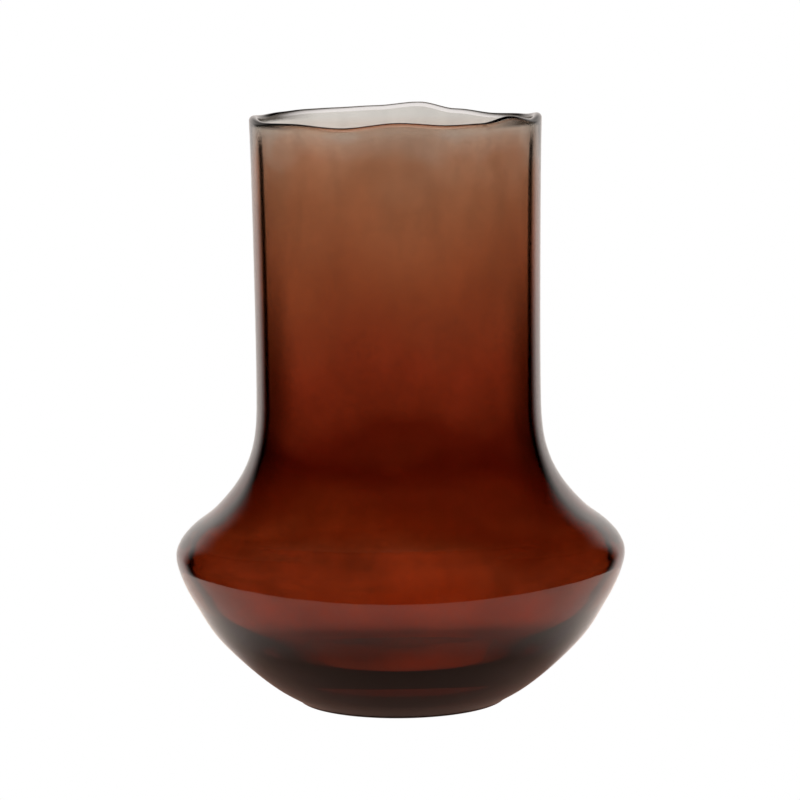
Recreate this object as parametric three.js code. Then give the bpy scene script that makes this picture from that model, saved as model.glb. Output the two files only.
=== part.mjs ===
// Mouth-blown glass vase with a wide neck, made of two glass layers:
//   glass_vessel  the clear smoke-grey body with a thick base and a wavy fire-polished lip
//   colour_layer  the thin ombre brown layer lining the body, ending below the lip
// Units are millimetres, +Z is up, the ground foot stands on z = 0 and the axis is x = y = 0.
import * as THREE from "three";

// overall
const BULB_RADIUS = 90;
const HEIGHT = 234.6;
const SEGMENTS = 48;

// foot and base
const FOOT_RADIUS = 40.5;
const FOOT_ROUND = 1.6;
const RECESS_RADIUS = 33;
const RECESS_DEPTH = 2.5;
const BASE_THICKNESS = 13.2;

// wall and lip
const NECK_OUTER = 57;
const NECK_WALL = 4.5;
const LIP_ROUND = 1.8;
const LIP_FLARE = 1;

// colour layer
const SEAT_GAP = 0.3;
const LAYER_THICKNESS = 0.7;
const LAYER_TOP = 231;

// lip height round the mouth: [turn from +X in degrees, lift]
const WAVE_START = 200;
const LIP_LIFT = [
  [0, 0.6],
  [25, -1],
  [45, -1.5],
  [64, -0.1],
  [80, 2.6],
  [98, 1.3],
  [115, 0.9],
  [130, 0.8],
  [145, 0.4],
  [160, 0],
  [180, 0.7],
  [205, -0.7],
  [225, -0.4],
  [248, -1.6],
  [271, 0.4],
  [292, -0.9],
  [306, -0.7],
  [321, 1.4],
  [340, -0.7],
  [360, 0.6],
];

// outer wall, [radius, height] from above the foot to below the lip
const OUTER = [
  [FOOT_RADIUS + 1.8, 1.1],
  [52, 7],
  [63.3, 16.4],
  [74.7, 28.2],
  [82.1, 39.9],
  [87.2, 49.5],
  [BULB_RADIUS, 58.7],
  [88.6, 64.6],
  [83.7, 70.4],
  [74.8, 77.4],
  [65.8, 87.8],
  [60.2, 98.5],
  [NECK_OUTER + 0.4, 111],
  [NECK_OUTER - 0.2, 131],
  [NECK_OUTER, 170],
  [NECK_OUTER + 0.5, 211],
  [NECK_OUTER + LIP_FLARE, HEIGHT - LIP_ROUND],
];

// inner wall, [radius, height] from the middle of the floor to below the lip
const INNER = [
  [0, BASE_THICKNESS],
  [25, BASE_THICKNESS + 0.5],
  [46, BASE_THICKNESS + 3.7],
  [61.4, 24.7],
  [72.2, 35],
  [79.8, 45.8],
  [84.5, 57],
  [83.4, 63.5],
  [78.4, 69.3],
  [70.2, 75.8],
  [61.2, 85.6],
  [55.6, 97],
  [NECK_OUTER + 0.4 - NECK_WALL - 0.3, 111],
  [NECK_OUTER - 0.2 - NECK_WALL, 131],
  [NECK_OUTER - NECK_WALL, 170],
  [NECK_OUTER + 0.5 - NECK_WALL + 0.2, 211],
  [NECK_OUTER + LIP_FLARE - 2 * LIP_ROUND, HEIGHT - LIP_ROUND],
];

const spline = (knots) => new THREE.SplineCurve(knots.map(([r, z]) => new THREE.Vector2(r, z)));
const outerWall = spline(OUTER);
const innerWall = spline(INNER);

// points along a curve at the given places (0 to 1), moved to the left of the way it runs
function wallPoints(curve, places, side) {
  return places.map((t) => {
    const p = curve.getPoint(t);
    const d = curve.getTangent(t);
    if (p.x === 0) {
      return new THREE.Vector2(0, p.y + side);
    }
    return new THREE.Vector2(p.x - d.y * side, p.y + d.x * side);
  });
}

const evenly = (count) => Array.from({ length: count + 1 }, (_, i) => i / count);

function arcPoints(cx, cy, radius, startDeg, endDeg, count) {
  const points = [];
  for (let i = 0; i <= count; i += 1) {
    const a = THREE.MathUtils.degToRad(startDeg + ((endDeg - startDeg) * i) / count);
    points.push(new THREE.Vector2(cx + radius * Math.cos(a), cy + radius * Math.sin(a)));
  }
  return points;
}

// where along the inner wall the height reaches z
function heightAlong(curve, z) {
  let low = 0.5;
  let high = 1;
  for (let i = 0; i < 40; i += 1) {
    const mid = (low + high) / 2;
    if (curve.getPoint(mid).y < z) {
      low = mid;
    } else {
      high = mid;
    }
  }
  return (low + high) / 2;
}

function liftAt(turn) {
  const k = Math.max(1, LIP_LIFT.findIndex(([a]) => a > turn));
  const [a, from] = LIP_LIFT[k - 1];
  const [b, to] = LIP_LIFT[k];
  return THREE.MathUtils.lerp(from, to, THREE.MathUtils.smoothstep(turn, a, b));
}

// the lip rises and falls round the mouth, the waves dying out down the neck
function wave(geometry) {
  const pos = geometry.attributes.position;
  for (let i = 0; i < pos.count; i += 1) {
    const z = pos.getZ(i);
    const turn = THREE.MathUtils.radToDeg(Math.atan2(pos.getY(i), pos.getX(i)));
    const lift = liftAt(THREE.MathUtils.euclideanModulo(turn + 0.001, 360));
    pos.setZ(i, z + lift * THREE.MathUtils.smoothstep(z, WAVE_START, HEIGHT));
  }
}

// turn a closed half-outline about +Z
function revolve(name, outline, material) {
  const geometry = new THREE.LatheGeometry(outline, SEGMENTS);
  geometry.rotateX(Math.PI / 2);
  wave(geometry);
  geometry.computeVertexNormals();
  const mesh = new THREE.Mesh(geometry, material);
  mesh.name = name;
  return mesh;
}

const glass = new THREE.MeshStandardMaterial({
  color: 0xb9b6b0,
  roughness: 0.04,
  metalness: 0,
  transparent: true,
  opacity: 0.45,
});
const colour = new THREE.MeshStandardMaterial({
  color: 0x7a3c20,
  roughness: 0.2,
  metalness: 0,
  transparent: true,
  opacity: 0.85,
});

// vessel outline: underside from the axis outwards, up the outside, over the lip, down the inside
const underside = [0, 0.35, 0.7, 1].map(
  (k) => new THREE.Vector2(RECESS_RADIUS * k, RECESS_DEPTH * (1 - k * k)),
);
const footEdge = arcPoints(FOOT_RADIUS, FOOT_ROUND, FOOT_ROUND, -90, -30, 3);
const lipCentre = NECK_OUTER + LIP_FLARE - LIP_ROUND;
const lip = arcPoints(lipCentre, HEIGHT - LIP_ROUND, LIP_ROUND, 0, 180, 6);
const outerPlaces = evenly(28).slice(0, -1);
const innerPlaces = evenly(24).slice(0, -1);
const vesselOutline = [
  ...underside,
  ...footEdge,
  ...wallPoints(outerWall, outerPlaces, 0),
  ...lip,
  ...wallPoints(innerWall, innerPlaces, 0).reverse(),
];

// layer outline: its face against the wall, its top edge, then back down its inner face
const layerEnd = heightAlong(innerWall, LAYER_TOP);
const layerPlaces = [...innerPlaces.filter((t) => t < layerEnd - 0.01), layerEnd];
const layerOutline = [
  ...wallPoints(innerWall, layerPlaces, SEAT_GAP),
  ...wallPoints(innerWall, layerPlaces, SEAT_GAP + LAYER_THICKNESS).reverse(),
];

const vase = new THREE.Group();
vase.name = "vase";
vase.add(revolve("glass_vessel", vesselOutline, glass));
vase.add(revolve("colour_layer", layerOutline, colour));

export default vase;
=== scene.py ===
"""Wide-necked mouth-blown glass vase, ombre brown inside clear smoke-grey glass, on a white table."""

import math

import bpy
from mathutils import Euler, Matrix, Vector


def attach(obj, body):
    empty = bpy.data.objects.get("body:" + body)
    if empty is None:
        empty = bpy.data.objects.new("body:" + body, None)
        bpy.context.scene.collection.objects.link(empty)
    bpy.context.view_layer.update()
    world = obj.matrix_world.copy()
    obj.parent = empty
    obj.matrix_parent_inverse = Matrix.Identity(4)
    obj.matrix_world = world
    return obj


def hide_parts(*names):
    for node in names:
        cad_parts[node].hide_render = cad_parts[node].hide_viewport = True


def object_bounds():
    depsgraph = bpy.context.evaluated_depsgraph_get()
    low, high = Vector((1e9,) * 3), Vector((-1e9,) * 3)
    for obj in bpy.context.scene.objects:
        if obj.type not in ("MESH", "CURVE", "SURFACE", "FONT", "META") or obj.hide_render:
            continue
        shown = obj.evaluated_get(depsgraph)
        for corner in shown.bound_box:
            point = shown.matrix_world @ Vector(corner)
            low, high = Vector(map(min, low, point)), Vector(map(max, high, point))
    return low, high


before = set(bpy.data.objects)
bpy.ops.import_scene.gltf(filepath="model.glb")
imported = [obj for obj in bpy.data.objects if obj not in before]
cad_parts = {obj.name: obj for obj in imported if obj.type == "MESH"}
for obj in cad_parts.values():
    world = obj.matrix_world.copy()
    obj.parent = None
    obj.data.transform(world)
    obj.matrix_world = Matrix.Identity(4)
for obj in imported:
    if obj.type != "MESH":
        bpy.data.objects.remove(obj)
cad_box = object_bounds()

MM = 0.001
TURN_STEPS = 192
WALL_STEPS = 112
WIDEST, TOP = cad_box[1][0] / MM, cad_box[1][2] / MM

# ---------------------------------------------------------------- sizes, in millimetres

BULB_RADIUS = 90.0
HEIGHT = 234.6

FOOT_RADIUS = 40.5
FOOT_ROUND = 1.6
RECESS_RADIUS = 33.0
RECESS_DEPTH = 2.5
BASE_THICKNESS = 13.2

NECK_OUTER = 57.0
NECK_WALL = 4.5
LIP_ROUND = 1.8
LIP_FLARE = 1.0

# the brown layer's two faces, measured from the inner wall into the glass
LAYER_NEAR = -0.5
LAYER_FAR = -0.2

# lip height round the mouth: (turn from +X in degrees, lift); the waves start at WAVE_START
WAVE_START = 200.0
LIP_LIFT = [
    (0, 0.6), (25, -1.0), (45, -1.5), (64, -0.1), (80, 2.6), (98, 1.3), (115, 0.9),
    (130, 0.8), (145, 0.4), (160, 0.0), (180, 0.7), (205, -0.7), (225, -0.4), (248, -1.6),
    (271, 0.4), (292, -0.9), (306, -0.7), (321, 1.4), (340, -0.7), (360, 0.6),
]

# outer wall, (radius, height) from above the foot to below the lip
OUTER = [
    (FOOT_RADIUS + 1.8, 1.1), (52, 7), (63.3, 16.4), (74.7, 28.2), (82.1, 39.9),
    (87.2, 49.5), (BULB_RADIUS, 58.7), (88.6, 64.6), (83.7, 70.4), (74.8, 77.4),
    (65.8, 87.8), (60.2, 98.5), (NECK_OUTER + 0.4, 111), (NECK_OUTER - 0.2, 131),
    (NECK_OUTER, 170), (NECK_OUTER + 0.5, 211), (NECK_OUTER + LIP_FLARE, HEIGHT - LIP_ROUND),
]

# inner wall, (radius, height) from the middle of the floor to below the lip
INNER = [
    (0, BASE_THICKNESS), (25, BASE_THICKNESS + 0.5), (46, BASE_THICKNESS + 3.7),
    (61.4, 24.7), (72.2, 35), (79.8, 45.8), (84.5, 57), (83.4, 63.5), (78.4, 69.3),
    (70.2, 75.8), (61.2, 85.6), (55.6, 97), (NECK_OUTER + 0.1 - NECK_WALL, 111),
    (NECK_OUTER - 0.2 - NECK_WALL, 131), (NECK_OUTER - NECK_WALL, 170),
    (NECK_OUTER + 0.7 - NECK_WALL, 211),
    (NECK_OUTER + LIP_FLARE - 2 * LIP_ROUND, HEIGHT - LIP_ROUND),
]

# ---------------------------------------------------------------- looks

WHITE = (1, 1, 1, 1)
BLACK = (0, 0, 0, 1)

# clear glass, and the painted shade on its lip, a dark edge where the rounded lip is seen at a slant:
# (from, to) in metres of height and in slant
SMOKE_COLOUR = (0.5, 0.33, 0.23, 1)
SMOKE_DENSITY = 85.0
LIP_SHADE = (0.03, 0.025, 0.02, 1)
LIP_SHADE_HEIGHT = (0.231, 0.2325)
LIP_SHADE_SLANT = (0.12, 0.5)

# tint of one pass through the brown layer at each height, millimetres
LAYER_TINTS = [
    (14, (0.75, 0.26, 0.14)),
    (24, (0.74, 0.28, 0.15)),
    (38, (0.47, 0.20, 0.12)),
    (52, (0.42, 0.13, 0.05)),
    (62, (0.50, 0.19, 0.09)),
    (74, (0.37, 0.11, 0.04)),
    (98, (0.27, 0.06, 0.03)),
    (107, (0.40, 0.13, 0.07)),
    (130, (0.49, 0.18, 0.10)),
    (165, (0.55, 0.28, 0.17)),
    (205, (0.62, 0.40, 0.28)),
    (220, (0.69, 0.51, 0.40)),
    (232, (0.78, 0.78, 0.75)),
]

# clouds shift the tint up and down (size in metres, drift in millimetres), and die out at the top
CLOUD_SIZE = 0.055
CLOUD_OFFSET = (0.31, 0.12, 0.05)
CLOUD_DRIFT = 50.0
CLOUD_END = (0.93, 0.98)

# mottle lightens and darkens it, drawn out upwards
MOTTLE_SIZE = 0.022
MOTTLE_STRETCH = (1, 1, 0.5)
MOTTLE_DEPTH = 0.5

# painted shade in the middle of the floor, standing in for the shade beneath the foot, (from, to) in
# metres from the axis
MIDDLE_SHADE = 0.5
MIDDLE_EDGE = (0.008, 0.022)

# a painted shade line where the wall is seen at a slant, and a broad band low on the neck that is partly
# the deeper tint of a longer path through the layer and partly painted shade;
# slant runs from 0, face on, to 1, edge on, and height from 0 to 1
LINE_SHADE = 0.7
LINE_SLANT = ((0.24, 0.25), (0.256, 0.266))
LINE_END = (0.95, 0.98)
BAND_TINT_AND_SHADE = 0.4
BAND_SLANT = (0.14, 0.235)
BAND_HEIGHT = ((0.3, 0.45), (0.55, 0.8))

# table, a hair under the foot, in metres
TABLE_CENTRE = (0, 0.06, -0.0002)
TABLE_RADIUS = 0.203
TABLE_COLOUR = (0.8, 0.74, 0.69, 1)
# painted light: the table's faint warm glow stands in for the brownish light that falls through the vase
# onto it
TABLE_PAINTED_GLOW = (0.19, 0.11, 0.085, 1)

# surround, by the way a ray goes: the ceiling's edge, and the backdrop's sides, top and front
CEILING_EDGE = (0.2, 0.6)
CEILING_LEVEL = 0.03
BACKDROP_COLOUR = (0.85, 0.78, 0.74, 1)
BACKDROP_SIDES = (0.48, 0.7)
BACKDROP_TOP = (0.2, 0.5)
BACKDROP_FRONT = (0.0, 0.2)

SOFTBOX_PLACE = (0, 0.25, 1.0)
SOFTBOX_SIZE = 1.0
SOFTBOX_WATTS = 12.5

CAMERA_PLACE = (0.0005, -1.5, 0.319)
CAMERA_TARGET = (0.0005, 0, 0.121)
CAMERA_LENS = 170.2
CAMERA_ROLL = -0.7


# ---------------------------------------------------------------- curves

TANGENT_STEP = 1e-4


def spline_point(knots, t):
    """The point at t, 0 to 1, on a Catmull-Rom curve through the knots."""
    last = len(knots) - 1
    k = min(int(last * t), last - 1)
    w = last * t - k
    near = [knots[max(k - 1, 0)], knots[k], knots[k + 1], knots[min(k + 2, last)]]

    def along(axis):
        a, b, c, d = (q[axis] for q in near)
        v0, v1 = (c - a) / 2, (d - b) / 2
        cubic = 2 * b - 2 * c + v0 + v1
        square = 3 * c - 3 * b - 2 * v0 - v1
        return cubic * w**3 + square * w**2 + v0 * w + b

    return Vector((along(0), along(1)))


def wall_points(knots, side=0.0):
    """Even points along the curve, moved to the left of the way it runs."""
    points = []
    for i in range(WALL_STEPS + 1):
        t = i / WALL_STEPS
        p = spline_point(knots, t)
        ahead = spline_point(knots, min(t + TANGENT_STEP, 1))
        way = ahead - spline_point(knots, max(t - TANGENT_STEP, 0))
        way.normalize()
        if p.x == 0:
            points.append((0.0, p.y + side))
        else:
            points.append((p.x - way.y * side, p.y + way.x * side))
    return points


def arc_points(cx, cz, radius, start, end, count):
    angles = [math.radians(start + (end - start) * i / count) for i in range(count + 1)]
    return [(cx + radius * math.cos(a), cz + radius * math.sin(a)) for a in angles]


def smoothstep(x, a, b):
    t = min(max((x - a) / (b - a), 0.0), 1.0)
    return t * t * (3 - 2 * t)


def lip_lift(turn):
    for (a, start), (b, end) in zip(LIP_LIFT, LIP_LIFT[1:]):
        if a <= turn <= b:
            return start + (end - start) * smoothstep(turn, a, b)


# ---------------------------------------------------------------- meshes

def revolve(name, outline):
    """A closed half-outline from axis to axis, turned about +Z, with the lip's waves."""
    verts, rings = [], []
    for r, z in outline:
        if r == 0:
            rings.append([len(verts)] * TURN_STEPS)
            verts.append((0, 0, z * MM))
            continue
        ring = []
        r = min(r, WIDEST)
        fade = smoothstep(z, WAVE_START, HEIGHT)
        for i in range(TURN_STEPS):
            turn = 360 * i / TURN_STEPS
            height = min(z + lip_lift(turn) * fade, TOP)
            a = math.radians(turn)
            ring.append(len(verts))
            verts.append((r * MM * math.cos(a), r * MM * math.sin(a), height * MM))
        rings.append(ring)
    faces = []
    for low, high in zip(rings, rings[1:]):
        for i in range(TURN_STEPS):
            j = (i + 1) % TURN_STEPS
            face = list(dict.fromkeys((low[i], low[j], high[j], high[i])))
            if len(face) > 2:
                faces.append(face)
    mesh = bpy.data.meshes.new(name)
    mesh.from_pydata(verts, [], faces)
    mesh.polygons.foreach_set("use_smooth", [True] * len(mesh.polygons))
    mesh.update()
    obj = bpy.data.objects.new(name, mesh)
    bpy.context.scene.collection.objects.link(obj)
    return obj


def vessel_outline():
    """Underside from the axis outwards, up the outside, over the lip, down the inside."""
    steps = [k / 8 for k in range(9)]
    underside = [(RECESS_RADIUS * k, RECESS_DEPTH * (1 - k**2)) for k in steps]
    foot = arc_points(FOOT_RADIUS, FOOT_ROUND, FOOT_ROUND, -90, -30, 6)
    lip_centre = NECK_OUTER + LIP_FLARE - LIP_ROUND
    lip = arc_points(lip_centre, HEIGHT - LIP_ROUND, LIP_ROUND, 0, 180, 20)
    outer = wall_points(OUTER)[:-1]
    inner = wall_points(INNER)[:-1]
    return underside + foot + outer + lip + inner[::-1]


def layer_outline():
    return wall_points(INNER, LAYER_NEAR) + wall_points(INNER, LAYER_FAR)[::-1]


# ---------------------------------------------------------------- materials

class Graph:
    """A shader node tree with short calls for its usual nodes."""

    def __init__(self, tree):
        self.nodes, self.links = tree.nodes, tree.links

    def feed(self, socket, value):
        if isinstance(value, bpy.types.NodeSocket):
            self.links.new(value, socket)
        else:
            socket.default_value = value

    def add(self, kind, **inputs):
        node = self.nodes.new("ShaderNode" + kind)
        for name, value in inputs.items():
            self.feed(node.inputs[name.replace("_", " ")], value)
        return node

    def math(self, operation, *values):
        node = self.nodes.new("ShaderNodeMath")
        node.operation = operation
        for socket, value in zip(node.inputs, values):
            self.feed(socket, value)
        return node.outputs[0]

    def product(self, first, *rest):
        for value in rest:
            first = self.math("MULTIPLY", first, value)
        return first

    def rest(self, value):
        return self.math("SUBTRACT", 1.0, value)

    def vector(self, operation, *values, out="Vector"):
        node = self.nodes.new("ShaderNodeVectorMath")
        node.operation = operation
        for socket, value in zip(node.inputs, values):
            self.feed(socket, value)
        return node.outputs[out]

    def fade(self, value, ends, start=0.0, end=1.0):
        low, high = ends
        node = self.add("MapRange", Value=value, From_Min=low, From_Max=high,
                        To_Min=start, To_Max=end)
        node.interpolation_type = "SMOOTHSTEP"
        return node.outputs["Result"]

    def window(self, value, ends):
        """0 to 1 between the first pair of values, back to 0 between the second."""
        rise, fall = ends
        return self.product(self.fade(value, rise), self.fade(value, fall, 1.0, 0.0))

    def blend(self, factor, a, b):
        node = self.nodes.new("ShaderNodeMix")
        node.data_type = "RGBA"
        for name, value in (("Factor_Float", factor), ("A_Color", a), ("B_Color", b)):
            self.feed(next(i for i in node.inputs if i.identifier == name), value)
        return next(o for o in node.outputs if o.identifier == "Result_Color")

    def noise(self, place, size, detail):
        node = self.add("TexNoise", Vector=place, Scale=1 / size, Detail=detail, Roughness=0.55)
        return self.math("SUBTRACT", node.outputs["Fac"], 0.5)

    def place(self):
        return self.add("TexCoord").outputs["Object"]

    def slant(self):
        return self.add("LayerWeight", Blend=0.5).outputs["Facing"]

    def split(self, vector):
        return self.add("SeparateXYZ", Vector=vector).outputs


def new_material(name):
    material = bpy.data.materials.new(name)
    material.use_nodes = True
    return material, Graph(material.node_tree), material.node_tree.nodes["Principled BSDF"]


def smoke_glass():
    """Clear glass that absorbs a little, with painted shade darkening its edges where the rounded lip is
    seen at a slant.
    """
    material, graph, shader = new_material("smoke_glass")
    # painted shade: the lip's edges darkened where they are seen at a slant
    lip = graph.product(graph.fade(graph.split(graph.place())["Z"], LIP_SHADE_HEIGHT),
                        graph.fade(graph.slant(), LIP_SHADE_SLANT))
    graph.feed(shader.inputs["Base Color"], graph.blend(lip, WHITE, LIP_SHADE))
    shader.inputs["Roughness"].default_value = 0.0
    shader.inputs["IOR"].default_value = 1.5
    shader.inputs["Transmission Weight"].default_value = 1.0
    absorb = graph.add("VolumeAbsorption", Color=SMOKE_COLOUR, Density=SMOKE_DENSITY)
    volume = graph.nodes["Material Output"].inputs["Volume"]
    graph.links.new(absorb.outputs["Volume"], volume)
    return material


def brown_glass():
    """The tint follows the height, drifting in clouds; painted shade darkens it in a line where the layer
    is seen at a slant and in the middle of the floor, and a band low on the neck is partly deeper tint at
    a slant and partly painted shade.
    """
    material, graph, shader = new_material("brown_glass")
    shader.inputs["Roughness"].default_value = 0.0
    shader.inputs["IOR"].default_value = 1.0
    shader.inputs["Transmission Weight"].default_value = 1.0

    place = graph.place()
    height = graph.math("DIVIDE", graph.split(place)["Z"], HEIGHT * MM)
    clouds = graph.noise(graph.vector("ADD", place, CLOUD_OFFSET), CLOUD_SIZE, 3.0)
    drift = graph.fade(height, CLOUD_END, CLOUD_DRIFT / HEIGHT, 0.0)
    ramp = graph.add("ValToRGB", Fac=graph.math("MULTIPLY_ADD", clouds, drift, height))
    stops = ramp.color_ramp.elements
    for k, (z, tint) in enumerate(LAYER_TINTS):
        stop = stops[k] if k < 2 else stops.new(z / HEIGHT)
        stop.position = z / HEIGHT
        stop.color = (*tint, 1)

    slant = graph.slant()
    # painted shade: a dark line where the layer is seen at a slant, fading out near the top
    line = graph.product(graph.window(slant, LINE_SLANT), graph.fade(height, LINE_END, LINE_SHADE, 0.0))
    # a band low on the neck where the layer is seen at a slant: partly the deeper tint of a longer path
    # through it, partly painted shade
    band = graph.product(graph.fade(slant, BAND_SLANT), graph.window(height, BAND_HEIGHT), BAND_TINT_AND_SHADE)
    axis = graph.vector("LENGTH", graph.vector("MULTIPLY", place, (1, 1, 0)), out="Value")
    # painted shade: the layer darker in the middle of the floor, for the shade beneath the foot
    middle = graph.fade(axis, MIDDLE_EDGE, MIDDLE_SHADE, 0.0)
    mottle = graph.noise(graph.vector("MULTIPLY", place, MOTTLE_STRETCH), MOTTLE_SIZE, 4.0)
    mottle = graph.math("MULTIPLY_ADD", mottle, MOTTLE_DEPTH, 1.0)

    tint = graph.nodes.new("ShaderNodeVectorMath")
    tint.operation = "SCALE"
    graph.feed(tint.inputs["Vector"], ramp.outputs["Color"])
    graph.feed(tint.inputs["Scale"],
               graph.product(graph.rest(line), graph.rest(band), mottle, graph.rest(middle)))
    graph.feed(shader.inputs["Base Color"], tint.outputs["Vector"])
    return material


def build_vase():
    vessel = revolve("glass_vessel_body", vessel_outline())
    vessel.data.materials.append(smoke_glass())
    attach(vessel, "root")
    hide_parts("glass_vessel")
    layer = revolve("colour_layer_skin", layer_outline())
    layer.data.materials.append(brown_glass())
    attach(layer, "root")
    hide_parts("colour_layer")


# ---------------------------------------------------------------- table, light and camera

def table_material():
    """Plain matt off-white with a faint warm painted glow, for the brownish light that falls through the
    vase; straight to the camera it is pure white, unshadowed.
    """
    material, graph, shader = new_material("white_table")
    shader.inputs["Base Color"].default_value = TABLE_COLOUR
    shader.inputs["Roughness"].default_value = 1.0
    shader.inputs["Specular IOR Level"].default_value = 0.0
    shader.inputs["Emission Color"].default_value = TABLE_PAINTED_GLOW
    shader.inputs["Emission Strength"].default_value = 1.0
    glow = graph.add("Emission", Color=WHITE)
    seen = graph.nodes.new("ShaderNodeMixShader")
    graph.feed(seen.inputs[0], graph.add("LightPath").outputs["Is Camera Ray"])
    graph.feed(seen.inputs[1], shader.outputs["BSDF"])
    graph.feed(seen.inputs[2], glow.outputs["Emission"])
    graph.feed(graph.nodes["Material Output"].inputs["Surface"], seen.outputs["Shader"])
    return material


def build_table():
    bpy.ops.mesh.primitive_circle_add(vertices=128, radius=TABLE_RADIUS, fill_type="NGON")
    floor = bpy.context.object
    floor.name = "table"
    floor.location = TABLE_CENTRE
    floor.data.materials.append(table_material())


def build_world():
    """White all round under a dark ceiling; mirrored in the vase, only the backdrop behind it shows."""
    world = bpy.data.worlds.new("studio")
    bpy.context.scene.world = world
    world.use_nodes = True
    graph = Graph(world.node_tree)
    path = graph.add("LightPath").outputs
    way = graph.split(graph.add("TexCoord").outputs["Generated"])
    ceiling = graph.fade(way["Z"], CEILING_EDGE, 1.0, CEILING_LEVEL)
    around = graph.math("MAXIMUM", ceiling, path["Is Camera Ray"])
    sheet = graph.product(graph.fade(graph.math("ABSOLUTE", way["X"]), BACKDROP_SIDES, 1.0, 0.0),
                          graph.fade(way["Z"], BACKDROP_TOP, 1.0, 0.0),
                          graph.fade(way["Y"], BACKDROP_FRONT))
    backdrop = graph.blend(sheet, BLACK, BACKDROP_COLOUR)
    light = graph.blend(path["Is Reflection Ray"], around, backdrop)
    graph.feed(graph.nodes["Background"].inputs["Color"], light)


def build_light():
    """A softbox that lights the table; the glass neither mirrors it nor lets it through."""
    lamp = bpy.data.lights.new("softbox", "AREA")
    lamp.shape = "DISK"
    lamp.size = SOFTBOX_SIZE
    lamp.energy = SOFTBOX_WATTS
    obj = bpy.data.objects.new("softbox", lamp)
    obj.location = SOFTBOX_PLACE
    obj.visible_glossy = False
    obj.visible_transmission = False
    bpy.context.scene.collection.objects.link(obj)


def build_camera():
    camera = bpy.data.cameras.new("camera")
    camera.sensor_width = 36
    camera.lens = CAMERA_LENS
    camera.clip_end = 20
    obj = bpy.data.objects.new("camera", camera)
    bpy.context.scene.collection.objects.link(obj)
    obj.location = CAMERA_PLACE
    look = (Vector(CAMERA_TARGET) - Vector(CAMERA_PLACE)).to_track_quat("-Z", "Y").to_matrix()
    roll = Euler((0, 0, math.radians(CAMERA_ROLL))).to_matrix()
    obj.rotation_euler = (look @ roll).to_euler()
    bpy.context.scene.camera = obj


def set_look():
    scene = bpy.context.scene
    scene.view_settings.view_transform = "Standard"
    scene.cycles.max_bounces = 32
    scene.cycles.transmission_bounces = 32
    scene.cycles.glossy_bounces = 12
    scene.cycles.transparent_max_bounces = 16


build_vase()
build_table()
build_world()
build_light()
build_camera()
set_look()
